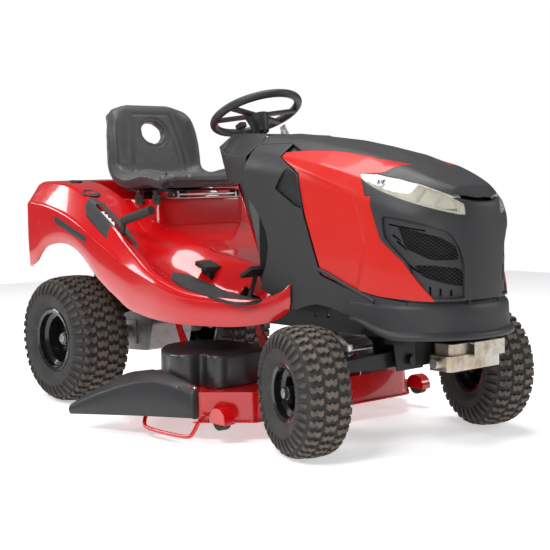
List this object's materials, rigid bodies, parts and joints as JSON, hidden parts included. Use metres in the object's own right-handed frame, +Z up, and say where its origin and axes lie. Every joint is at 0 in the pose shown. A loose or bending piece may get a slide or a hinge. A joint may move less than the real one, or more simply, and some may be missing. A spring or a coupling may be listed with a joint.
{
  "type": "riding lawn mower",
  "caption": "Riding lawn mower with a side-discharge cutting deck, tilting hood, steered front axle, sliding seat and hydrostatic drive.",
  "frame": {"origin": "on the ground under the middle of the whole machine", "axes": "+Z up, the front faces -Y, the operator's left is +X"},
  "size_m": [1.151, 1.907, 1.0915],
  "materials": {
    "red_gloss": "gloss",
    "red_plastic": "satin gloss",
    "red_body": "gloss",
    "dark_plastic": "fine grain",
    "black_paint": "satin",
    "black_gloss": "gloss",
    "zinc": "zinc plated",
    "cast_aluminium": "as cast",
    "stainless": "heat tinted",
    "belt_rubber": "matte",
    "tyre_rubber": "matte",
    "seat_vinyl": "grained",
    "lens": "clear",
    "tank_plastic": "translucent",
    "cast_iron": "as cast",
    "battery_plastic": "matte"
  },
  "bodies": {
    "chassis": {"chassis_frame": "black_paint", "hitch_plate": "black_paint", "transaxle_housing": "cast_aluminium", "engine_block": "cast_aluminium", "blower_housing": "dark_plastic", "muffler": "stainless", "drive_belt": "belt_rubber", "fuel_tank": "tank_plastic", "rear_body": "red_body", "foot_mats": "belt_rubber", "dash_console": "dark_plastic", "side_fascias": "dark_plastic", "front_bumper": "dark_plastic", "lever_plate": "dark_plastic", "battery": "battery_plastic", "seat_hinge": "zinc"},
    "front_axle": {"front_axle_beam": "black_paint"},
    "spindle_right_body": {"spindle_right": "black_paint"},
    "spindle_left_body": {"spindle_left": "black_paint"},
    "tie_rod_body": {"tie_rod": "zinc"},
    "drag_link_body": {"drag_link": "zinc"},
    "sector_body": {"steering_sector": "zinc"},
    "pinion_body": {"steering_pinion_shaft": "zinc"},
    "steering_wheel_body": {"steering_wheel": "dark_plastic", "steering_column": "zinc"},
    "front_wheel_right": {"front_rim_right": "black_gloss", "front_tyre_right": "tyre_rubber"},
    "front_wheel_left": {"front_rim_left": "black_gloss", "front_tyre_left": "tyre_rubber"},
    "rear_wheel_right": {"rear_rim_right": "black_gloss", "rear_tyre_right": "tyre_rubber", "axle_shaft_right": "zinc"},
    "rear_wheel_left": {"rear_rim_left": "black_gloss", "rear_tyre_left": "tyre_rubber", "axle_shaft_left": "zinc"},
    "hood": {"hood_shell": "dark_plastic", "hood_side_panels": "red_plastic", "grille_mesh": "black_paint", "headlights": "lens"},
    "seat_frame": {"seat_bracket": "zinc", "seat_knobs": "dark_plastic"},
    "seat": {"seat_cushion": "seat_vinyl"},
    "lift_lever": {"height_lever": "black_paint"},
    "deck": {"deck_shell": "red_gloss", "spindle_housings": "cast_aluminium", "deck_belt": "belt_rubber", "belt_covers": "dark_plastic"},
    "blade_right_body": {"blade_right": "zinc"},
    "blade_left_body": {"blade_left": "zinc"},
    "deflector_body": {"deflector": "dark_plastic"},
    "gauge_right_body": {"gauge_wheel_right": "belt_rubber"},
    "gauge_left_body": {"gauge_wheel_left": "belt_rubber"},
    "crank_body": {"crankshaft_pulley": "zinc"},
    "transaxle_input_body": {"transaxle_pulley": "zinc"},
    "drive_pedal_body": {"drive_pedals": "black_paint"},
    "reverse_pedal_body": {"reverse_pedal": "dark_plastic"},
    "brake_pedal_body": {"brake_pedal": "black_paint"},
    "throttle_body": {"throttle_lever": "dark_plastic"},
    "key_body": {"ignition_key": "zinc"},
    "fuel_cap_body": {"fuel_cap": "dark_plastic"}
  },
  "joints": [
    {"name": "front_axle_swing", "type": "hinge", "parent": "chassis", "child": "front_axle", "pos_m": [0.0655, -0.5965, 0.2505], "axis": [0, 1, 0], "range_deg": [-3, 3]},
    {"name": "kingpin_right", "type": "hinge", "parent": "front_axle", "child": "spindle_right_body", "pos_m": [-0.1965, -0.5965, 0.1905], "axis": [0, 0, 1], "range_deg": [-18, 52]},
    {"name": "kingpin_left", "type": "hinge", "parent": "front_axle", "child": "spindle_left_body", "pos_m": [0.3275, -0.5965, 0.1905], "axis": [0, 0, 1], "range_deg": [-18, 52]},
    {"name": "tie_rod_joint", "type": "hinge", "parent": "spindle_right_body", "child": "tie_rod_body", "pos_m": [-0.17311, -0.52, 0.2835], "axis": [0, 0, 1], "range_deg": [-52, 18]},
    {"name": "drag_link_joint", "type": "hinge", "parent": "spindle_right_body", "child": "drag_link_body", "pos_m": [-0.21989, -0.673, 0.3175], "axis": [0, 0, 1], "range_deg": [-52, 18]},
    {"name": "sector_turn", "type": "hinge", "parent": "chassis", "child": "sector_body", "pos_m": [0.0655, -0.2465, 0.3415], "axis": [0, 0, 1], "range_deg": [-18, 52]},
    {"name": "pinion_turn", "type": "hinge", "parent": "chassis", "child": "pinion_body", "pos_m": [0.0655, -0.1665, 0.3415], "axis": [0, 0, 1], "range_deg": [-108, 312]},
    {"name": "steering_wheel_turn", "type": "hinge", "parent": "chassis", "child": "steering_wheel_body", "pos_m": [0.0655, 0.0575, 1.018], "axis": [0, 0.4067, 0.9135], "range_deg": [-108, 312]},
    {"name": "front_wheel_right_spin", "type": "hinge", "parent": "spindle_right_body", "child": "front_wheel_right", "pos_m": [-0.29787, -0.56551, 0.1905], "axis": [0.9563, -0.2924, 0], "continuous": true},
    {"name": "front_wheel_left_spin", "type": "hinge", "parent": "spindle_left_body", "child": "front_wheel_left", "pos_m": [0.42887, -0.62749, 0.1905], "axis": [0.9563, -0.2924, 0], "continuous": true},
    {"name": "rear_wheel_right_spin", "type": "hinge", "parent": "chassis", "child": "rear_wheel_right", "pos_m": [-0.2685, 0.7135, 0.2285], "axis": [1, 0, 0], "continuous": true},
    {"name": "rear_wheel_left_spin", "type": "hinge", "parent": "chassis", "child": "rear_wheel_left", "pos_m": [0.3995, 0.7135, 0.2285], "axis": [1, 0, 0], "continuous": true},
    {"name": "hood_hinge", "type": "hinge", "parent": "chassis", "child": "hood", "pos_m": [0.0655, -0.9205, 0.449], "axis": [1, 0, 0], "range_deg": [0, 60]},
    {"name": "seat_tilt", "type": "hinge", "parent": "chassis", "child": "seat_frame", "pos_m": [0.0655, 0.3415, 0.747], "axis": [1, 0, 0], "range_deg": [0, 60]},
    {"name": "seat_slide", "type": "slide", "parent": "seat_frame", "child": "seat", "axis": [0, 1, 0], "range_m": [-0.06, 0.03]},
    {"name": "deck_lift", "type": "slide", "parent": "chassis", "child": "deck", "axis": [0, 0, 1], "range_m": [-0.03, 0.02]},
    {"name": "height_lever_swing", "type": "hinge", "parent": "chassis", "child": "lift_lever", "pos_m": [-0.3005, 0.4135, 0.425], "axis": [1, 0, 0], "range_deg": [-13.8, 20.6]},
    {"name": "blade_right_spin", "type": "hinge", "parent": "deck", "child": "blade_right_body", "pos_m": [-0.1735, -0.0435, 0.152], "axis": [0, 0, 1], "continuous": true},
    {"name": "blade_left_spin", "type": "hinge", "parent": "deck", "child": "blade_left_body", "pos_m": [0.3045, 0.0005, 0.152], "axis": [0, 0, 1], "continuous": true},
    {"name": "deflector_hinge", "type": "hinge", "parent": "deck", "child": "deflector_body", "pos_m": [-0.4005, -0.1865, 0.164], "axis": [0, 1, 0], "range_deg": [0, 65]},
    {"name": "gauge_right_spin", "type": "hinge", "parent": "deck", "child": "gauge_right_body", "pos_m": [-0.3685, -0.2765, 0.076], "axis": [1, 0, 0], "continuous": true},
    {"name": "gauge_left_spin", "type": "hinge", "parent": "deck", "child": "gauge_left_body", "pos_m": [0.4995, -0.2765, 0.076], "axis": [1, 0, 0], "continuous": true},
    {"name": "crankshaft_spin", "type": "hinge", "parent": "chassis", "child": "crank_body", "pos_m": [0.0655, -0.4715, 0.359], "axis": [0, 0, 1], "continuous": true},
    {"name": "transaxle_input_spin", "type": "hinge", "parent": "chassis", "child": "transaxle_input_body", "pos_m": [0.0655, 0.6235, 0.359], "axis": [0, 0, 1], "continuous": true},
    {"name": "drive_pedal_press", "type": "hinge", "parent": "chassis", "child": "drive_pedal_body", "pos_m": [-0.1425, -0.1265, 0.385], "axis": [1, 0, 0], "range_deg": [0, 14], "stiffness_Nm_per_rad": 6, "springref_deg": -5.73},
    {"name": "reverse_pedal_press", "type": "hinge", "parent": "chassis", "child": "reverse_pedal_body", "pos_m": [-0.1595, 0.0435, 0.385], "axis": [1, 0, 0], "range_deg": [0, 12], "stiffness_Nm_per_rad": 6, "springref_deg": -5.73},
    {"name": "brake_pedal_press", "type": "hinge", "parent": "chassis", "child": "brake_pedal_body", "pos_m": [0.2735, -0.1265, 0.385], "axis": [1, 0, 0], "range_deg": [0, 18], "stiffness_Nm_per_rad": 8, "springref_deg": -5.73},
    {"name": "throttle_swing", "type": "hinge", "parent": "chassis", "child": "throttle_body", "pos_m": [-0.0265, -0.00044, 0.91244], "axis": [1, 0, 0], "range_deg": [-15, 15]},
    {"name": "key_turn", "type": "hinge", "parent": "chassis", "child": "key_body", "pos_m": [0.1575, 0.01094, 0.93802], "axis": [0, 0.4067, 0.9135], "range_deg": [0, 90]},
    {"name": "fuel_cap_lift", "type": "slide", "parent": "chassis", "child": "fuel_cap_body", "axis": [0, 0, 1], "range_m": [0, 0.06]}
  ],
  "couplings": [
    {"joint": "kingpin_left", "follows": "kingpin_right", "ratio": 1},
    {"joint": "tie_rod_joint", "follows": "kingpin_right", "ratio": -1},
    {"joint": "drag_link_joint", "follows": "kingpin_right", "ratio": -1},
    {"joint": "sector_turn", "follows": "kingpin_right", "ratio": 1},
    {"joint": "pinion_turn", "follows": "kingpin_right", "ratio": 6},
    {"joint": "steering_wheel_turn", "follows": "kingpin_right", "ratio": 6},
    {"joint": "height_lever_swing", "follows": "deck_lift", "rad_per_m": -11.905},
    {"joint": "blade_left_spin", "follows": "blade_right_spin", "ratio": 1},
    {"joint": "transaxle_input_spin", "follows": "crankshaft_spin", "ratio": 1}
  ]
}
